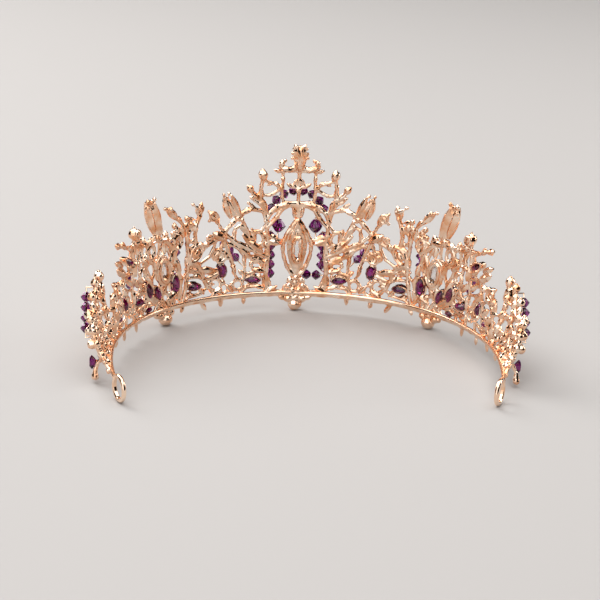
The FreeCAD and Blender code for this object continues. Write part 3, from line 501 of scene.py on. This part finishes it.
# %% Ornaments of the shoulders
shoulder_ornaments = [
    (petal, 16.2, 19.6, 50, 7.0, 2.8), (petal, 15.6, 14.4, 66, 7.0, 2.6), (petal, 20.2, 17.2, 48, 6.0, 2.3),
    (petal, 14.8, 9.6, 76, 5.4, 2.3), (petal, 17.2, 24.2, 16, 6.0, 2.4), (petal, 22.2, 20.8, 60, 5.0, 2.0),
    (petal, 14.4, 2.6, 78, 4.6, 2.0), (petal, 19.4, 2.8, 100, 4.6, 1.7), (petal, 21.6, 8.8, 50, 4.0, 2.0),
    (petal, 25.2, 10.4, 10, 4.4, 1.9), (petal, 26.2, 14.6, 14, 5.0, 1.8), (petal, 28.0, 20.0, 20, 5.4, 1.9),
    (petal, 21.0, 14.0, 8, 5.0, 1.9), (petal, 21.6, 26.8, 40, 5.0, 1.7), (petal, 25.2, 25.4, -6, 5.0, 1.9),
    (petal, 20.6, 34.4, -75, 5.0, 2.0), (petal, 22.6, 32.6, 130, 4.6, 2.4), (petal, 26.6, 29.2, 128, 6.0, 1.9),
    (petal, 31.6, 25.2, 60, 6.4, 4.0), (petal, 34.6, 23.4, 110, 5.4, 2.6), (petal, 33.0, 31.2, 36, 4.6, 1.4),
    (cup, 34.3, 33.6, 25, 3.6, 3.3), (berry, 35.8, 35.4, 40, 1.3), (berry, 36.0, 31.8, 110, 1.2),
    (cup, 36.0, 25.0, 0, 2.3), (cup, 31.9, 17.2, 0, 4.4), (petal, 36.6, 11.9, 78, 7.4, 2.6),
    (cup, 41.8, 19.4, -36, 8.2, 4.9), (petal, 44.4, 12.4, 62, 5.4, 2.0), (petal, 41.6, 14.6, 66, 5.0, 1.9),
    (petal, 27.0, 3.0, 40, 4.6, 2.1), (berry, 29.6, 5.4, 0, 2.4), (petal, 35.4, 5.6, 84, 4.6, 1.7),
    (petal, 33.0, 1.8, -55, 4.6, 1.9), (petal, 44.0, 2.6, 72, 5.4, 1.9), (petal, 39.0, 3.4, 40, 4.2, 1.9),
    (petal, 46.2, 26.6, 4, 5.6, 2.0), (petal, 45.6, 16.6, 0, 5.6, 2.1), (petal, 46.0, 8.2, -8, 5.6, 2.1),
    (petal, 42.0, 29.6, -10, 5.4, 1.7), (berry, 39.4, 38.6, -20, 1.7), (berry, 43.4, 39.6, 60, 1.4),
    (petal, 41.2, 37.8, 55, 3.8, 1.4), (petal, 44.2, 33.6, 78, 4.0, 1.8), (berry, 46.2, 34.4, 30, 2.0),
    (berry, 37.4, 22.6, 0, 1.9), (berry, 29.4, 26.0, 0, 2.4), (berry, 24.0, 31.8, 0, 2.2),
    (berry, 22.2, 31.0, 0, 1.6), (petal, 40.0, 9.6, 74, 4.4, 2.0), (petal, 30.6, 20.6, -10, 3.8, 1.5)]

# %% Ornaments of the shoulder leaf
shoulder_leaf_ornaments = [
    (petal, 25.0, 37.2, 26, 10.4, 2.8, 0.1, -4), (petal, 28.2, 36.4, 16, 9.4, 4.0, 1.3, 6),
    (berry, 27.8, 42.0, 0, 1.3), (berry, 30.2, 42.0, 20, 1.3)]

# %% Ornaments of the sides
side_ornaments = fan(58.6, 2.0, 6.0, (-66, -22, 6, 50, 74), 6.6, 2.6) + fan(59.4, 2.0, 12.0, (-28, 30, 44), 7.0, 2.4)
for ring in ((50.6, 25.8, 1.9, 2.8), (65.4, 25.0, 2.3, 3.0), (70.6, 17.2, 1.9, 2.6), (54.0, 1.8, 1.4, 1.4)):
    side_ornaments += garland(ring_of(*ring, 8), 1.9, 0.4)
side_ornaments += [
    (petal, 53.2, 37.6, 46, 7.4, 3.4), (berry, 57.0, 40.2, 60, 1.5), (berry, 54.6, 39.6, 0, 1.8),
    (petal, 49.6, 34.6, 48, 5.0, 2.0), (petal, 48.0, 29.6, 12, 5.0, 2.2), (berry, 52.6, 32.6, 0, 2.2),
    (berry, 50.6, 30.6, 0, 2.4), (petal, 54.0, 19.6, -20, 6.6, 2.4), (petal, 62.8, 18.6, 24, 6.6, 2.4),
    (petal, 57.4, 24.6, 4, 5.4, 2.8), (berry, 64.8, 21.0, 0, 2.6), (petal, 68.6, 21.6, 50, 5.4, 2.2),
    (petal, 73.0, 26.6, 30, 6.0, 2.0), (petal, 74.4, 15.0, 34, 5.4, 2.4), (petal, 75.8, 20.8, 10, 5.4, 2.2),
    (petal, 70.6, 3.6, 76, 6.0, 2.2), (petal, 65.6, 4.2, 66, 5.0, 2.2), (petal, 74.6, 3.0, 60, 4.6, 2.1),
    (berry, 56.2, 29.8, 0, 2.2), (berry, 61.4, 29.6, 0, 2.4), (berry, 66.0, 29.4, 0, 2.2),
    (berry, 69.0, 30.4, 0, 2.2), (berry, 73.6, 31.2, 0, 2.4), (petal, 58.6, 28.4, 88, 5.0, 2.1),
    (petal, 63.8, 28.4, 88, 5.4, 2.0), (petal, 49.0, 5.0, -8, 6.0, 2.2), (petal, 50.2, 15.6, 16, 6.0, 2.2),
    (berry, 67.8, 6.4, 0, 2.2), (cup, 70.8, 10.6, 0, 3.4), (petal, 76.6, 9.6, 0, 5.4, 2.1),
    (petal, 76.6, 26.6, -4, 5.4, 2.2), (berry, 59.0, 0.6, 0, 2.6), (petal, 55.0, 12.0, -30, 5.0, 2.2)]

# %% Ornaments of the side leaf
side_leaf_ornaments = [
    (petal, 61.6, 37.6, 20, 14.4, 3.6, 0.1, -3), (petal, 65.0, 38.2, 14, 13.4, 4.8, 1.4, 6),
    (berry, 66.9, 45.2, 10, 1.8), (berry, 63.6, 45.6, 10, 1.6)]

# %% Ornaments of the ends
end_ornaments = [
    (petal, 85.4, 32.8, 62, 5.6, 2.2), (petal, 88.4, 33.8, 68, 5.0, 2.8, 1.6), (petal, 79.4, 30.2, 52, 5.0, 2.2),
    (petal, 80.2, 23.0, 60, 5.4, 2.4), (petal, 87.6, 26.4, 64, 8.0, 2.8, 1.4), (petal, 85.6, 22.4, 58, 7.0, 3.4),
    (petal, 91.4, 19.4, 62, 7.0, 2.8, 1.8), (petal, 82.0, 18.6, 62, 5.4, 2.6), (petal, 79.4, 16.6, 50, 5.0, 2.6),
    (petal, 84.4, 14.2, 40, 5.4, 2.6), (petal, 80.0, 10.6, 40, 5.4, 2.4), (petal, 89.4, 10.4, 55, 5.4, 2.6),
    (petal, 83.0, 5.6, 60, 5.4, 2.2), (petal, 86.4, 2.8, 76, 5.4, 2.4), (petal, 90.0, 2.0, 70, 5.0, 2.4),
    (petal, 92.6, 8.0, 40, 5.4, 2.6), (petal, 94.8, 13.2, 20, 6.0, 2.8, 1.8), (petal, 95.4, 4.6, 16, 5.4, 2.6),
    (petal, 97.4, 20.4, 10, 6.0, 2.8, 5.0, 10), (petal, 101.0, 21.6, -30, 5.4, 2.6, 5.6, 8),
    (petal, 108.6, 17.4, -30, 5.4, 2.6, 6.4, 8), (petal, 114.8, 12.0, -30, 4.8, 2.4, 6.2, 8),
    (petal, 107.0, 9.4, 40, 5.0, 2.4, 4.6), (petal, 100.8, 12.6, 60, 5.4, 2.4, 4.2),
    (petal, 107.2, 15.6, -60, 5.4, 2.4, 5.8), (petal, 113.6, 8.4, -70, 5.4, 2.4, 5.4),
    (petal, 100.6, 6.2, 60, 5.0, 2.4, 2.8), (petal, 107.2, 4.6, 60, 5.4, 2.4, 3.4),
    (petal, 114.2, 3.4, 80, 5.0, 2.4, 3.4), (petal, 120.6, 1.4, 70, 5.0, 2.2, 2.6),
    (cup, 75.7, 34.6, 0, 3.6, 3.4, -1.0), (berry, 75.7, 35.6, 0, 3.6, 2.6, 0.9),
    (berry, 96.8, 24.8, 0, 3.8, 3.8, 6.2), (berry, 102.3, 24.4, 0, 3.0, 3.0, 6.6),
    (berry, 107.4, 20.8, 0, 3.2, 3.2, 7.2), (berry, 113.8, 14.6, 0, 3.0, 3.0, 7.2),
    (berry, 93.6, 16.0, 0, 2.8, 2.8, 1.6), (berry, 89.4, 15.6, 0, 2.6), (berry, 87.0, 18.8, 0, 2.6),
    (berry, 94.0, 11.4, 0, 2.6, 2.6, 1.8), (berry, 91.0, 5.0, 0, 2.4), (berry, 99.0, 3.4, 0, 2.6, 2.6, 2.2),
    (berry, 106.0, 1.8, 0, 2.6, 2.6, 2.6), (berry, 113.4, 0.6, 0, 2.6, 2.6, 3.0),
    (berry, 111.4, 15.4, 0, 3.4, 3.4, 8.0), (berry, 114.6, 10.6, 0, 3.2, 3.2, 7.6), (berry, 116.8, 6.4, 0, 3.2, 3.2, 6.8)]
for upright in (((96, 0, 0.9), (97.6, 6, 2), (98.4, 12, 3.4), (98.6, 18, 4.6), (97, 23, 5.8)),
                ((102, 0, 0.9), (103.4, 5, 3), (104.4, 12, 4.8), (104, 18, 5.8), (102.4, 22.6, 6.4)),
                ((110, 0, 0.9), (110.6, 3.6, 3.4), (111, 9, 5.0), (109.8, 14.6, 6.2), (107.6, 19.6, 6.8)),
                ((118, 0, 0.9), (117.4, 2.4, 3), (116.6, 6, 4.8), (115.2, 10.2, 6.0), (114, 13.4, 6.6))):
    end_ornaments += budded(upright, (2.9, 2.3))

# %% Ornaments of the finial, the marquise, the rosette and the drops
finial_ornaments = [
    (petal, 0.9, 55.8, 4, 9.6, 3.6, -0.1), (berry, 1.8, 60.4, 20, 1.7, 1.7, 0.2),
    (petal, 5.2, 51.2, 74, 4.6, 2.6, 0.2), (berry, 7.0, 53.6, -20, 2.3, 2.3, 0.4)]
marquise_edge = ((0.7, 30.6), (2.6, 27.6), (4.5, 24.6), (5.7, 21.2), (5.6, 17.4), (4.6, 13.4), (3.0, 9.8), (0.9, 7.4))
marquise_ornaments = garland(marquise_edge, 1.9, -0.6) + garland(((0.1, 30.0), (1.4, 26.8), (2.6, 23.4)), 1.3, -1.4)
window_rim = garland(ring_of(0, 18.6, 1.6, 5.2, 10), 1.4, -1.9)
rosette_ring = [(berry, s, z, 0, 2.3, 2.5, -0.2) for s, z in ring_of(0, 3.9, 2.9, 2.8, 7)[:-1]]
drop_ornaments = [(berry, 2.8, -2.6, 0, 3.4, 3.8, 0.8), (petal, 4.8, -2.0, 74, 4.4, 2.8, 0.8), (berry, 0.9, -1.2, 0, 2.0)]
side_drop_ornaments = [
    (berry, 55.6, -5.1, 0, 4.9, 5.7, 1.4), (berry, 52.9, -2.8, 0, 3.2, 3.2, 1.4), (berry, 58.7, -2.9, 0, 3.4, 3.4, 1.4)]

# %% A casting with its ornaments
def both(ornaments):
    return [(kind, side * s, *rest) for side in (1, -1) for kind, s, *rest in ornaments]


trimmings = {
    "centre_casting": both(centre_ornaments),
    "centre_finial": both(finial_ornaments) + [(petal, 0.001, 52.0, 0, 3.6, 3.4, 0.1)],
    "centre_marquise_setting": both(marquise_ornaments) + window_rim,
    "centre_rosette": rosette_ring + [(berry, 0.001, 7.2, 0, 2.4, 2.4, 0.2)],
    "centre_drop": both(drop_ornaments) + [(berry, 0.001, -5.1, 0, 4.9, 5.7, 1.2)],
    "side_drop": side_drop_ornaments,
    "shoulder_casting": shoulder_ornaments, "shoulder_leaf": shoulder_leaf_ornaments,
    "side_casting": side_ornaments, "side_leaf": side_leaf_ornaments, "end_casting": end_ornaments}
hands = {"_left": 1, "_right": -1}
rough_wax = (0.55 * MM, 0.28 * MM, 0.17 * MM, 0.225 * MM)
smooth_wax = (0.3 * MM, 0.2 * MM, 0.15 * MM, 0.2 * MM)
castings = ["centre_casting", "centre_finial", "centre_marquise_setting", "centre_rosette", "centre_drop"]
for part in ("shoulder_casting", "shoulder_leaf", "side_casting", "side_leaf", "side_oval_setting", "side_drop",
             "end_casting"):
    castings += [part + hand for hand in hands]
for name in castings:
    piece = copy_of(name, "cast_" + name)
    for hand, side in hands.items():
        if name.endswith(hand) and name[:-len(hand)] in trimmings:
            press_all(piece, [(kind, side * s, *rest) for kind, s, *rest in trimmings[name[:-len(hand)]]])
    if name in trimmings:
        press_all(piece, trimmings[name])
    rough = name.partition("_")[2].startswith("casting")
    melt(piece, *(rough_wax if rough else smooth_wax))
    set_material(piece, cast_gold)
    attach(piece, "root")
    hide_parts(name)
    print(name, len(piece.data.polygons), "faces")
for pattern in (petal, berry, cup):
    bpy.data.objects.remove(pattern)

# %% [markdown]
# ## Set stones
# The amethysts are cut as long ovals and marquises: a flat table, a crown of slanted facets, a thin girdle
# and a deep back. From behind the tiara one looks into the backs through the open collets. A stone starts
# as a flat twelve-sided disc, because its rim is the girdle, and both sides are drawn out to smaller faces.

# %% A cut stone
bpy.ops.object.select_all(action="DESELECT")
bpy.ops.mesh.primitive_cylinder_add(vertices=10, radius=0.5, depth=0.05, location=(0, 0, 0))
cut_stone = bpy.context.active_object
for side, steps in ((1, ((0.16, 0.62),)), (-1, ((0.14, 0.78), (0.20, 0.42)))):
    pick_points(cut_stone, lambda co: co.z * side > 0.02)
    for lift, size in steps:
        bpy.ops.mesh.extrude_region_move(TRANSFORM_OT_translate={"value": (0, 0, side * lift)})
        bpy.ops.transform.resize(value=(size, size, 1), center_override=(0, 0, 0))
bpy.ops.object.mode_set(mode="OBJECT")
cut_stone.data.transform(Matrix.Rotation(math.pi / 2, 4, "X"))
print("cut stone", len(cut_stone.data.polygons), "facets")

# %% Setting the stones
def set_stone(name, station, height, tilt, length, width, out, depth, point=0.0):
    """A stone lying against the band's face, its table outward, its long axis tilted towards the tail."""
    shape = cut_stone.data.copy()
    for corner in shape.vertices:
        corner.co.x *= 1 - point * abs(2 * corner.co.z) ** 2 * 0.35
    face = face_at(station)
    axis = lean_at(station, tilt)
    turn = Matrix((axis.cross(face), -face, axis)).transposed().to_4x4()
    sizes = Matrix.Diagonal((width * MM, depth * MM, length * MM, 1))
    shape.transform(Matrix.Translation(seat(station, height, out)) @ turn @ sizes)
    stone = bpy.data.objects.new(name, shape)
    bpy.context.scene.collection.objects.link(stone)
    return stone


def set_group(name, node, material, stones):
    """Stones of one node, each (station, height, tilt, length, width, out, depth, point)."""
    pieces = [set_stone(name, *stone) for stone in stones]
    bpy.ops.object.select_all(action="DESELECT")
    for piece in pieces:
        piece.select_set(True)
    bpy.context.view_layer.objects.active = pieces[0]
    if len(pieces) > 1:
        bpy.ops.object.join()
    group = bpy.context.active_object
    set_material(group, material)
    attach(group, "root")
    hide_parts(node)


shoulder_stones = [(17.2, 5.7, 82, 7.2, 3.9, 0.8, 4.8, 0.9), (30.0, 10.6, 10, 6.8, 4.6, 0.8, 5.0, 0.3),
                   (42.3, 5.6, 84, 7.4, 3.8, 0.8, 4.8, 0.6)]
side_stones = [(51.4, 8.6, 4, 9.6, 4.8, 0.8, 5.4, 0.7), (61.0, 7.2, 24, 8.2, 4.2, 0.8, 5.0, 0.9),
               (66.0, 9.6, 16, 8.8, 4.3, 0.8, 5.0, 0.9), (72.6, 6.8, 78, 8.4, 3.7, 0.8, 5.0, 0.9),
               (66.4, 2.0, 80, 5.0, 2.7, 0.7, 3.8, 0.5)]
end_stones = [(80.4, 25.4, 60, 8.2, 3.4, 0.9, 4.6, 0.9), (84.0, 9.4, 8, 6.0, 3.4, 0.8, 4.6, 0.8),
              (89.6, 5.6, 70, 5.0, 2.8, 0.8, 4.0, 0.8), (113.8, -1.6, 0, 5.4, 2.9, 6.8, 4.4, 0.3)]
for hand, side in hands.items():
    for part, stones in (("shoulder", shoulder_stones), ("side", side_stones), ("end", end_stones)):
        set_group("cut_" + part + "_amethysts" + hand, part + "_amethysts" + hand, amethyst,
                  [(side * s, *rest) for s, *rest in stones])
    set_group("cut_side_crystal" + hand, "side_crystal" + hand, clear,
              [(side * 58.0, 15.6, 12, 9.8, 4.8, 1.6, 6.0, 0.0)])
set_group("cut_centre_crystal", "centre_crystal", clear,
          [(0.001, 18.6, 0, 13.4, 5.6, 2.4, 6.4, 1.0)])
print("stones set")

# %% [markdown]
# ## Threaded crystals
# The beads are bicones: two low cones base to base, cut in flat facets and bored through. One is modelled
# from an eight-sided disc, its two ends drawn in to a nose, and the bore made by bridging the two ends. The
# copies sit on the wires at the places of the design's beads, each turned a little further than the last.

# %% A bicone crystal
bead_belt, bead_half, bead_nose = 2.0 * MM, 1.75 * MM, 0.75 * MM
bead_bore = 0.40 * MM
bpy.ops.object.select_all(action="DESELECT")
bpy.ops.mesh.primitive_cylinder_add(vertices=8, radius=bead_belt, depth=0.24 * MM, location=(0, 0, 0))
bicone = bpy.context.active_object
for side in (1, -1):
    pick_points(bicone, lambda co: co.z * side > 0.05 * MM)
    bpy.ops.mesh.extrude_region_move(TRANSFORM_OT_translate={"value": (0, 0, side * (bead_half - 0.12 * MM) * 0.55)})
    bpy.ops.transform.resize(value=(0.70, 0.70, 1), center_override=(0, 0, 0))
    bpy.ops.mesh.extrude_region_move(TRANSFORM_OT_translate={"value": (0, 0, side * (bead_half - 0.12 * MM) * 0.45)})
    nose = bead_nose / (bead_belt * 0.70)
    bpy.ops.transform.resize(value=(nose, nose, 1), center_override=(0, 0, 0))
bpy.ops.mesh.select_mode(type="FACE")
bpy.ops.object.mode_set(mode="OBJECT")
for face in bicone.data.polygons:
    face.select = abs(face.normal.z) > 0.99 and abs(face.center.z) > 0.9 * bead_half
bpy.ops.object.mode_set(mode="EDIT")
bpy.ops.mesh.inset(thickness=bead_nose - bead_bore, use_individual=True)
bpy.ops.mesh.bridge_edge_loops()
bpy.ops.mesh.select_all(action="SELECT")
bpy.ops.mesh.normals_make_consistent(inside=False)
bpy.ops.object.mode_set(mode="OBJECT")
print("bicone", len(bicone.data.polygons), "faces")

# %% Stringing the beads
def bead_places(node):
    """The middle of every separate bead of a node."""
    copy = copy_of(node, "count")
    bpy.ops.object.mode_set(mode="EDIT")
    bpy.ops.mesh.separate(type="LOOSE")
    bpy.ops.object.mode_set(mode="OBJECT")
    middles = []
    for part in list(bpy.context.selected_objects):
        corners = [corner.co for corner in part.data.vertices]
        middles.append((Vector(map(min, zip(*corners))) + Vector(map(max, zip(*corners)))) / 2)
        bpy.data.objects.remove(part)
    return middles


golden_turn = math.radians(137.5)
beads_strung = 0
for joint in frame["joints"]:
    node = joint["child"]
    axis = Vector(joint["axis"]).normalized()
    size = 1.45 if node.startswith("big") else 1.0
    threaded = []
    for middle in bead_places(node):
        shape = bicone.data.copy()
        roll = Matrix.Rotation(golden_turn * beads_strung, 4, "Z")
        shape.transform(Matrix.Translation(middle) @ axis.to_track_quat("Z", "Y").to_matrix().to_4x4() @ roll
                        @ Matrix.Scale(size, 4))
        bead = bpy.data.objects.new("cut_" + node, shape)
        bpy.context.scene.collection.objects.link(bead)
        threaded.append(bead)
        beads_strung += 1
    bpy.ops.object.select_all(action="DESELECT")
    for bead in threaded:
        bead.select_set(True)
    bpy.context.view_layer.objects.active = threaded[0]
    if len(threaded) > 1:
        bpy.ops.object.join()
    set_material(threaded[0], amethyst)
    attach(threaded[0], node)
    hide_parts(node)
bpy.data.objects.remove(bicone)
bpy.data.objects.remove(cut_stone)
print(beads_strung, "beads strung")

# %% [markdown]
# ## Band, loops and wires
# Drawn wire is round and smooth, and the design already has it right, so these pieces only get their metal.

# %% Band, loops and wires
for name, node in nodes.items():
    if name == "base_band" or "end_loop" in name or "wire" in name:
        set_material(node, wire_gold)
print("wires dressed")
